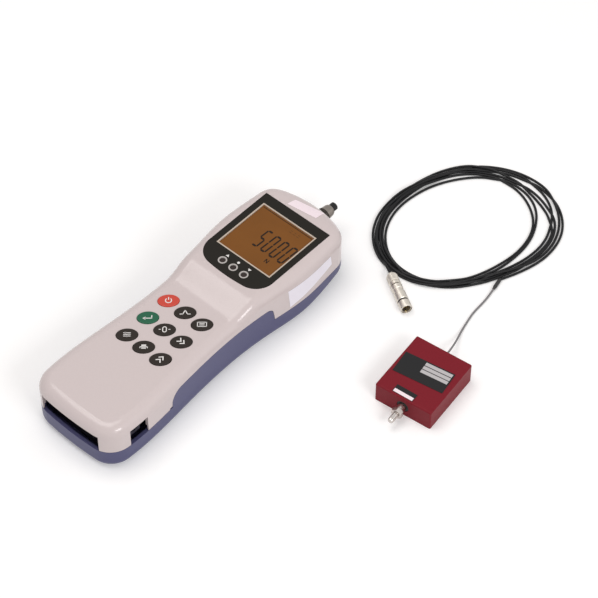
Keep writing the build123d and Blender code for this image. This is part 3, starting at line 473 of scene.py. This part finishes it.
def cord_curve(name, points, radius, mat):
    """A smooth round cord with the route's points as its control points."""
    data = bpy.data.curves.new(name, "CURVE")
    data.dimensions = "3D"
    data.bevel_depth = radius * MM
    data.bevel_resolution = CORD_BEVEL_STEPS
    data.resolution_u = CORD_CURVE_STEPS
    data.use_fill_caps = True
    spline = data.splines.new("NURBS")
    spline.points.add(len(points) - 1)
    for point, (x, y, z) in zip(spline.points, points):
        point.co = (x * MM, y * MM, z * MM, 1.0)
    spline.order_u = 3
    spline.use_endpoint_u = True
    data.materials.append(MATS[mat])
    return link(bpy.data.objects.new(name, data))


def make_cords():
    lead_points = [
        tuple(CELL_BOX @ Vector((0, LEAD_ROOT_Y, SHAFT_HEIGHT))),
        tuple(CELL_BOX @ Vector((0, LEAD_BEND_Y, SHAFT_HEIGHT))),
        *LEAD_ON_BENCH,
        SPLICE_START,
    ]
    lead = cord_curve("thin_lead", lead_points, LEAD_RADIUS, "lead_grey")
    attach(lead, "load_cell")
    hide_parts("lead_cable")
    tail_end = (
        PLUG_BACK[0] + TAIL_IN_PLUG * math.cos(PLUG_TURN),
        PLUG_BACK[1] + TAIL_IN_PLUG * math.sin(PLUG_TURN),
        PLUG_HEIGHT,
    )
    points = [SPLICE_END] + coil_route() + [TAIL_BEND, tail_end]
    cable = cord_curve("sensor_cable", points, CABLE_RADIUS, "cable_black")
    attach(cable, "load_cell")
    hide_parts("cable_coil", "cable_tail")


# Display: top of the head, top of the liquid crystal, middle of its window
HEAD_Z = 41.6
LCD_Z = 40.7
WINDOW_Y = 65.2
PRINT_RISE = 0.03
FAINT_RISE = 0.02
# Seven-segment digits: each segment from corner to corner, in widths and heights
SEGMENTS = {
    "a": (0, 1, 1, 1), "b": (1, 1, 1, 0.5), "c": (1, 0.5, 1, 0), "d": (0, 0, 1, 0),
    "e": (0, 0, 0, 0.5), "f": (0, 0.5, 0, 1), "g": (0, 0.5, 1, 0.5),
}
LEVEL_SEGMENTS = "agd"
DIGIT_SEGMENTS = {"5": "afgcd", "0": "abcdef"}
READING = "5000"
DIGIT_HEIGHT = 15.2
DIGIT_WIDTH = 3.7
DIGIT_SLANT = 0.045
DIGIT_PITCH = 7.1
DIGIT_X = -5.3
DIGIT_Y = 57.2
UPRIGHT_STROKE = 1.1
LEVEL_STROKE = 1.5
SEGMENT_INSET = 0.12
UNIT_X = 10.6
UNIT_Y = 51.0
UNIT_WIDTH = 2.0
UNIT_HEIGHT = 3.1
UNIT_STROKE = 0.6
UNIT_DIAGONAL = (0.15, 2.9, 1.85, 0.2)
# Painted shade: size and place of a dark strip along the far edge of the glass, under the frame
SHADE_STRIP_SIZE = (41.6, 0.5)
SHADE_STRIP_Y = WINDOW_Y + 20.05
FAINT_X = 6.5
FAINT_PITCH = 3.1
FAINT_ROWS = ((80.4, 2.2), (82.0, 1.6))
FAINT_STROKE = 0.45


def make_digits():
    """Slightly slanted seven-segment digits on the liquid crystal, the unit under them, and a
    strip of painted shade along the far edge of the glass.
    """
    outlines = []
    for index, digit in enumerate(READING):
        left = DIGIT_X + index * DIGIT_PITCH

        def place(u, v):
            x = left + u * DIGIT_WIDTH + v * DIGIT_HEIGHT * DIGIT_SLANT
            return x, DIGIT_Y + v * DIGIT_HEIGHT

        for name in DIGIT_SEGMENTS[digit]:
            u0, v0, u1, v1 = SEGMENTS[name]
            ax, ay = place(u0, v0)
            bx, by = place(u1, v1)
            d = Vector((bx - ax, by - ay)).normalized() * SEGMENT_INSET
            stroke = LEVEL_STROKE if name in LEVEL_SEGMENTS else UPRIGHT_STROKE
            outlines.append(hexagon_stroke(ax + d.x, ay + d.y, bx - d.x, by - d.y, stroke))
    # the unit, a plain N for newtons
    x, y, top = UNIT_X, UNIT_Y, UNIT_Y + UNIT_HEIGHT
    x0, y0, x1, y1 = UNIT_DIAGONAL
    outlines.append(bar(x, y, x, top, UNIT_STROKE))
    outlines.append(bar(x + x0, y + y0, x + x1, y + y1, UNIT_STROKE))
    outlines.append(bar(x + UNIT_WIDTH, y, x + UNIT_WIDTH, top, UNIT_STROKE))
    # painted shade: a dark strip along the far edge of the glass, where the frame's recess shades
    # it
    outlines.append(rect(0, SHADE_STRIP_Y, *SHADE_STRIP_SIZE))
    flat_piece("lcd_digits_and_edge_shade", outlines, LCD_Z, LCD_Z + PRINT_RISE, "lcd_ink", "gauge")
    faint = []
    for i in range(3):
        for y, width in FAINT_ROWS:
            faint.append(rect(FAINT_X + i * FAINT_PITCH, y, width, FAINT_STROKE))
    flat_piece(
        "lcd_faint_marks", faint, LCD_Z, LCD_Z + FAINT_RISE,
        "lcd_ink_faint", "gauge",
    )


LAMP_PITCH = 9.1
MARK_Y = 39.2
MARK_HALF = 1.3
MARK_BASE = 0.9
MARK_TIP = 1.0
DOT_RADIUS = 0.95
DOT_STEP = 20


def make_bezel_marks():
    """A small generic mark above each status lamp: up arrow, dot, down arrow."""
    left, right, y = -LAMP_PITCH, LAMP_PITCH, MARK_Y
    outlines = [
        [
            (left - MARK_HALF, y - MARK_BASE),
            (left + MARK_HALF, y - MARK_BASE),
            (left, y + MARK_TIP),
        ],
        [
            (DOT_RADIUS * math.cos(math.radians(a)), y + DOT_RADIUS * math.sin(math.radians(a)))
            for a in range(0, 360, DOT_STEP)
        ],
        [
            (right - MARK_HALF, y + MARK_BASE),
            (right, y - MARK_TIP),
            (right + MARK_HALF, y + MARK_BASE),
        ],
    ]
    flat_piece(
        "bezel_marks", outlines, HEAD_Z, HEAD_Z + PRINT_RISE,
        "print_white", "gauge",
    )


# Keys, row by row from the head
KEY_ROWS = [
    ["key_power", "key_peak", "key_memory"],
    ["key_enter", "key_zero", "key_down"],
    ["key_function", "key_print", "key_up"],
]
KEY_TOP = 36.6
KEY_PITCH_X = 14.4
KEY_PITCH_Y = 18.4
KEY_GRID_Y = -28.0
KEY_TURN = 42.0
ARROW_TURNS = {"key_down": 90.0, "key_up": 0.0}
SYMBOL_RISE = 0.04
FINE = 0.5
LINE = 0.6
ROUND = 0.62
BOLD = 0.65


def key_symbols():
    """Generic symbols, drawn level about the key's middle and turned with the key."""
    s = {}
    s["key_power"] = arc_strokes(0, 0, 1.9, 130, 410, ROUND) + [bar(0, 0.5, 0, 2.6, ROUND)]
    s["key_peak"] = [
        bar(-3.4, -1.4, -1.4, -1.4, LINE),
        bar(-1.5, -1.5, 0, 1.7, LINE),
        bar(0, 1.7, 1.5, -1.5, LINE),
        bar(1.4, -1.4, 3.4, -1.4, LINE),
    ]
    s["key_memory"] = [
        bar(-2.8, -1.7, 2.8, -1.7, FINE), bar(-2.8, 1.7, 2.8, 1.7, FINE),
        bar(-2.8, -1.95, -2.8, 1.95, FINE), bar(2.8, -1.95, 2.8, 1.95, FINE),
        rect(0, 0.55, 3.2, FINE), rect(0, -0.55, 3.2, FINE),
    ]
    s["key_enter"] = [
        bar(2.4, 1.6, 2.4, -0.7, BOLD),
        bar(2.7, -0.7, -2.2, -0.7, BOLD),
        [(-3.4, -0.7), (-1.5, -1.9), (-1.5, 0.5)],
    ]
    s["key_zero"] = (
        arc_strokes(0, 0.9, 1.15, 0, 180, ROUND, 12)
        + arc_strokes(0, -0.9, 1.15, 180, 360, ROUND, 12)
        + [bar(-1.15, -0.92, -1.15, 0.92, ROUND), bar(1.15, -0.92, 1.15, 0.92, ROUND)]
        + [bar(-3.6, 0, -2.4, 0, FINE), bar(2.4, 0, 3.6, 0, FINE)]
    )
    arrow = [(-2.1, 2.3), (0, 0), (2.1, 2.3), (1.57, 2.8), (0, 1.07), (-1.57, 2.8)]
    chevrons = [[(x, y + tip) for x, y in arrow] for tip in (-2.8, -0.2)]
    s["key_down"] = chevrons
    s["key_up"] = [[(x, -y) for x, y in reversed(o)] for o in chevrons]
    s["key_function"] = [
        rect(0, 1.3, 4.6, FINE), rect(0, 0, 4.6, FINE), rect(0, -1.3, 4.6, FINE),
        rect(-1.1, 1.3, 0.9, 1.05), rect(1.2, 0, 0.9, 1.05), rect(-0.2, -1.3, 0.9, 1.05),
    ]
    s["key_print"] = [
        rect(0, 0, 5.0, 0.55), rect(-2.3, -0.55, FINE, 1.3), rect(2.3, -0.55, FINE, 1.3),
        rect(0, 1.1, 2.9, 1.1), rect(0, -1.35, 2.9, FINE), rect(0, -0.75, 2.9, 0.35),
    ]
    return s


def make_key_legends():
    symbols = key_symbols()
    for row, names in enumerate(KEY_ROWS):
        for column, name in enumerate(names):
            x = (column - 1) * KEY_PITCH_X
            y = KEY_GRID_Y + (1 - row) * KEY_PITCH_Y
            turn = math.radians(ARROW_TURNS.get(name, KEY_TURN))
            place = Matrix.Translation((x, y, KEY_TOP)) @ Matrix.Rotation(turn, 4, "Z")
            flat_piece(
                name + "_symbol", symbols[name], 0, SYMBOL_RISE,
                "print_white", name, place,
            )


# Labels on the case: corners as seen from where they are dropped, steps of their grid
LABEL_LIFT = 0.09
SIDE_LABEL = [(60, 48.6, 17.8), (60, 88.6, 24.5), (60, 87.6, 33.2), (60, 47.0, 34.2)]
SIDE_LABEL_STEPS = (60, 14)
HEAD_SEAL = [(-10.8, 96.8, 60), (10.8, 100.0, 60), (10.9, 108.6, 60), (-9.9, 103.6, 60)]
HEAD_SEAL_STEPS = (24, 12)


def laid_on(name, node, corners, toward, steps, mat, body):
    """A thin label on a curved surface: a grid between four corners, dropped onto a CAD node."""
    obj = frame["nodes"][node]
    tree = BVHTree.FromPolygons(
        [obj.matrix_world @ v.co for v in obj.data.vertices],
        [tuple(p.vertices) for p in obj.data.polygons],
    )
    nu, nv = steps
    low_left, low_right, high_right, high_left = [Vector(c) * MM for c in corners]
    direction = Vector(toward).normalized()
    verts = []
    for j in range(nv + 1):
        for i in range(nu + 1):
            u, v = i / nu, j / nv
            low = low_left * (1 - u) + low_right * u
            high = high_left * (1 - u) + high_right * u
            hit, normal, _, _ = tree.ray_cast(low * (1 - v) + high * v, direction)
            normal = normal if normal.dot(direction) < 0 else -normal
            verts.append((hit + normal * LABEL_LIFT * MM) / MM)
    faces = []
    for j in range(nv):
        for i in range(nu):
            a = j * (nu + 1) + i
            faces.append((a, a + 1, a + nu + 2, a + nu + 1))
    mesh_object(name, verts, faces, mat, body, smooth=True)


def make_case_labels():
    """The bare label on the right side of the head and the bare seal on its sloping end."""
    laid_on(
        "side_label", "top_shell", SIDE_LABEL, (-1, 0, 0), SIDE_LABEL_STEPS,
        "label_white", "gauge",
    )
    laid_on(
        "head_seal", "top_shell", HEAD_SEAL, (0, 0, -1), HEAD_SEAL_STEPS,
        "label_pink", "gauge",
    )


# Plates on the load cell: place of the middle, turn in degrees, size
PLATE_RISE = 0.25
FIELD_RISE = 0.29
NAMEPLATE_PLACE = (-0.7, 1.1, CELL_TOP)
NAMEPLATE_TURN = 3.6
NAMEPLATE_SIZE = (35.2, 17.0)
FIELD_SIZE = (19.0, 2.5)
FIELD_X = 7.2
FIELD_TOP_Y = 6.3
FIELD_PITCH = 3.1
SMALL_PLATE_PLACE = (-1.5, -19.1, CELL_TOP)
SMALL_PLATE_TURN = -0.8
SMALL_PLATE_SIZE = (14.8, 6.0)
SMALL_FIELD_SIZE = (14.0, 2.5)
SMALL_FIELD_Y = -1.55


def make_cell_plates():
    """The bare nameplate with its three plain fields, and the two-tone plate near the shaft."""
    nameplate = [rect(0, 0, *NAMEPLATE_SIZE)]
    fields = [rect(FIELD_X, FIELD_TOP_Y - FIELD_PITCH * i, *FIELD_SIZE) for i in range(3)]
    small_plate = [rect(0, 0, *SMALL_PLATE_SIZE)]
    small_field = [rect(0, SMALL_FIELD_Y, *SMALL_FIELD_SIZE)]
    for name, at, turn, plate, field_name, field, field_mat in (
        (
            "cell_nameplate", NAMEPLATE_PLACE, NAMEPLATE_TURN, nameplate,
            "cell_nameplate_fields", fields, "plate_grey",
        ),
        (
            "cell_small_plate", SMALL_PLATE_PLACE, SMALL_PLATE_TURN, small_plate,
            "cell_small_plate_field", small_field, "label_pink",
        ),
    ):
        place = CELL_BOX @ Matrix.Translation(at) @ Matrix.Rotation(math.radians(turn), 4, "Z")
        flat_piece(name, plate, 0, PLATE_RISE, "plate_black", "load_cell", place)
        flat_piece(
            field_name, field, PLATE_RISE, FIELD_RISE, field_mat, "load_cell", place,
        )


# Small turned details, each round the local Y axis
SUNK = 0.05
RIDGE_LEAST = 0.02
RIDGE_MORE = 0.10
RIDGE_RUNOUT = 0.25
RIDGE_HALF = 0.30
RIB_RISE = 0.09
RIB_SHARE = 0.5
STUD_RADIUS = 2.0
STUD_THREAD = (-36.5, -31.9)
STUD_PITCH = 0.7
SOCKET_HEIGHT = 20.0
SOCKET_THREAD_RADIUS = 4.95
SOCKET_THREAD = (114.9, 120.2)
SOCKET_PITCH = 0.75
SOCKET_ROOT_PROFILE = [(114.3, 4.93), (120.6, 4.93)]
SOCKET_NUT_RADIUS = 7.0
SOCKET_NUT_RIBS = (112.4, 113.7)
RIB_COUNT = 40
PLUG_GRIP_RADIUS = 3.7
PLUG_GRIP_PROFILE = [
    (1.3, 3.15), (1.5, 3.45), (2.2, PLUG_GRIP_RADIUS),
    (7.1, PLUG_GRIP_RADIUS), (7.5, 3.45), (7.7, 3.15),
]
PLUG_GRIP_RIBS = (2.5, 6.8)
# Painted shade: a dark ring that fills the groove in the plug's body
PLUG_GROOVE_SHADE_PROFILE = [(10.45, 3.48), (10.95, 3.48)]
PLUG_SLEEVE_PROFILE = [(23.85, 3.74), (24.95, 3.74)]


def thread(name, place, radius, span, pitch, mat, body, steps):
    """A helical ridge that stands a little proud of the CAD cylinder and fades at both ends."""
    start, end = span
    foot = radius - SUNK
    verts = []
    faces = []
    count = int((end - start) / pitch * steps)
    for i in range(count + 1):
        t = 2 * math.pi * i / steps
        y = start + (end - start) * i / count
        fade = min(1.0, i / count / RIDGE_RUNOUT, (count - i) / count / RIDGE_RUNOUT)
        rise = RIDGE_LEAST + RIDGE_MORE * fade
        c, s = math.cos(t), math.sin(t)
        for across, r in ((-RIDGE_HALF, foot), (0.0, radius + rise), (RIDGE_HALF, foot)):
            verts.append((r * c, y + across * pitch, r * s))
    for i in range(count):
        a = 3 * i
        faces.append((a, a + 1, a + 4, a + 3))
        faces.append((a + 1, a + 2, a + 5, a + 4))
    mesh_object(name, moved(verts, place), faces, mat, body)


def sleeve(name, place, profile, mat, body, steps=48):
    """A thin turned sleeve, from (place along the axis, radius) pairs."""
    verts = []
    faces = []
    for (y0, r0), (y1, r1) in zip(profile, profile[1:]):
        base = len(verts)
        for i in range(steps):
            t = 2 * math.pi * i / steps
            c, s = math.cos(t), math.sin(t)
            verts += [(r0 * c, y0, r0 * s), (r1 * c, y1, r1 * s)]
        for i in range(steps):
            a, b = base + 2 * i, base + 2 * ((i + 1) % steps)
            faces.append((a, a + 1, b + 1, b))
    mesh_object(name, moved(verts, place), faces, mat, body, smooth=True)


def knurl(name, place, radius, span, mat, body):
    """Fine straight ribs along the axis."""
    verts = []
    faces = []
    foot = radius - SUNK
    half = RIB_SHARE * math.pi / RIB_COUNT
    for i in range(RIB_COUNT):
        t = 2 * math.pi * i / RIB_COUNT
        base = len(verts)
        for y in span:
            for dt, r in ((-half, foot), (0.0, radius + RIB_RISE), (half, foot)):
                verts.append((r * math.cos(t + dt), y, r * math.sin(t + dt)))
        faces.append((base, base + 3, base + 4, base + 1))
        faces.append((base + 1, base + 4, base + 5, base + 2))
        faces.append((base, base + 1, base + 2))
        faces.append((base + 3, base + 5, base + 4))
    mesh_object(name, moved(verts, place), faces, mat, body)


def make_metal_details():
    stud = CELL_BOX @ Matrix.Translation((0, 0, SHAFT_HEIGHT))
    thread(
        "stud_thread", stud, STUD_RADIUS, STUD_THREAD, STUD_PITCH,
        "shaft_steel", "measuring_shaft", 28,
    )
    socket = Matrix.Translation((0, 0, SOCKET_HEIGHT))
    thread(
        "socket_thread", socket, SOCKET_THREAD_RADIUS, SOCKET_THREAD, SOCKET_PITCH,
        "socket_dark", "gauge", 40,
    )
    sleeve(
        "socket_thread_root", socket, SOCKET_ROOT_PROFILE,
        "socket_dark", "gauge",
    )
    knurl(
        "socket_nut_ribs", socket, SOCKET_NUT_RADIUS, SOCKET_NUT_RIBS,
        "socket_metal", "gauge",
    )
    plug = (
        Matrix.Translation((PLUG_BACK[0], PLUG_BACK[1], PLUG_HEIGHT))
        @ Matrix.Rotation(PLUG_TURN - math.radians(90), 4, "Z")
    )
    sleeve(
        "plug_nut_grip", plug, PLUG_GRIP_PROFILE,
        "plug_nickel", "load_cell",
    )
    knurl(
        "plug_nut_ribs", plug, PLUG_GRIP_RADIUS, PLUG_GRIP_RIBS,
        "plug_nickel", "load_cell",
    )
    # painted shade in the groove of the plug's body, as a dark ring
    sleeve(
        "plug_groove_shade", plug, PLUG_GROOVE_SHADE_PROFILE,
        "socket_dark", "load_cell",
    )
    sleeve(
        "plug_sleeve_band", plug, PLUG_SLEEVE_PROFILE,
        "socket_dark", "plug_coupling_sleeve",
    )


# Stage: pale floor and white surroundings, which reflections see at a share of their strength
FLOOR_HALF = 3.0
FLOOR_COLOR = (0.92, 0.92, 0.92)
FLOOR_GLOW = 0.17
REFLECTED_SHARE = 0.7
WHITE = (1, 1, 1, 1)
SOFT_COLOR = (1.0, 0.98, 0.97, 1)
SOFT_STRENGTH = 0.5
WHITE_STRENGTH = 1.0
# Lights: place, aim, size, watts, colour
LIGHTS = {
    "top_light": ((-0.35, -0.05, 1.5), (0.03, 0.05, 0), (1.0, 1.0), 8.5, (1.0, 0.97, 0.95)),
    "right_light": ((1.3, 0.8, 0.75), (0.06, 0.05, 0), (1.1, 0.9), 1.6, (1, 1, 1)),
    "side_light": ((1.25, -0.25, 0.95), (0.03, 0.0, 0), (0.6, 0.42), 6.4, (1, 1, 1)),
    "foot_light": ((0.2, -1.3, 0.7), (0.0, -0.05, 0), (0.9, 0.6), 0.3, (1, 1, 1)),
}


def background_rays(nodes, links):
    """1 for rays that see the background directly or through glass, a share for reflections."""
    path = nodes.new("ShaderNodeLightPath")
    direct = nodes.new("ShaderNodeMath")
    direct.operation = "ADD"
    links.new(path.outputs["Is Camera Ray"], direct.inputs[0])
    links.new(path.outputs["Is Transmission Ray"], direct.inputs[1])
    shine = nodes.new("ShaderNodeMath")
    shine.operation = "MULTIPLY_ADD"
    shine.use_clamp = True
    shine.inputs[1].default_value = REFLECTED_SHARE
    links.new(path.outputs["Is Glossy Ray"], shine.inputs[0])
    links.new(direct.outputs["Value"], shine.inputs[2])
    return shine.outputs["Value"]


def make_floor():
    mesh = bpy.data.meshes.new("floor")
    h = FLOOR_HALF
    mesh.from_pydata([(-h, -h, 0), (h, -h, 0), (h, h, 0), (-h, h, 0)], [], [(0, 1, 2, 3)])
    floor = link(bpy.data.objects.new("floor", mesh))
    mat = material("floor_pale", FLOOR_COLOR, rough=0.9, grain=0.0, bump=0.0, specular=0.1)
    nodes = mat.node_tree.nodes
    links = mat.node_tree.links
    shader = nodes["Principled BSDF"]
    glow = nodes.new("ShaderNodeMath")
    glow.operation = "MULTIPLY"
    glow.inputs[1].default_value = FLOOR_GLOW
    links.new(background_rays(nodes, links), glow.inputs[0])
    links.new(glow.outputs["Value"], shader.inputs["Emission Strength"])
    shader.inputs["Emission Color"].default_value = WHITE
    mesh.materials.append(mat)


def make_world():
    world = bpy.data.worlds.new("world")
    bpy.context.scene.world = world
    world.use_nodes = True
    nodes = world.node_tree.nodes
    links = world.node_tree.links
    nodes.clear()
    out = nodes.new("ShaderNodeOutputWorld")
    mix = nodes.new("ShaderNodeMixShader")
    links.new(background_rays(nodes, links), mix.inputs["Fac"])
    for slot, color, strength in ((1, SOFT_COLOR, SOFT_STRENGTH), (2, WHITE, WHITE_STRENGTH)):
        shade = nodes.new("ShaderNodeBackground")
        shade.inputs["Color"].default_value = color
        shade.inputs["Strength"].default_value = strength
        links.new(shade.outputs["Background"], mix.inputs[slot])
    links.new(mix.outputs["Shader"], out.inputs["Surface"])


def make_lights():
    for name, (location, target, size, energy, color) in LIGHTS.items():
        data = bpy.data.lights.new(name, "AREA")
        data.shape = "RECTANGLE"
        data.size, data.size_y = size
        data.energy = energy
        data.color = color
        light = link(bpy.data.objects.new(name, data))
        light.location = location
        direction = Vector(target) - Vector(location)
        light.rotation_euler = direction.to_track_quat("-Z", "Y").to_euler()


make_camera()
make_cords()
dress_nodes()
make_digits()
make_bezel_marks()
make_key_legends()
make_cell_plates()
make_case_labels()
make_metal_details()
make_floor()
make_world()
make_lights()
bpy.context.scene.view_settings.view_transform = "Standard"
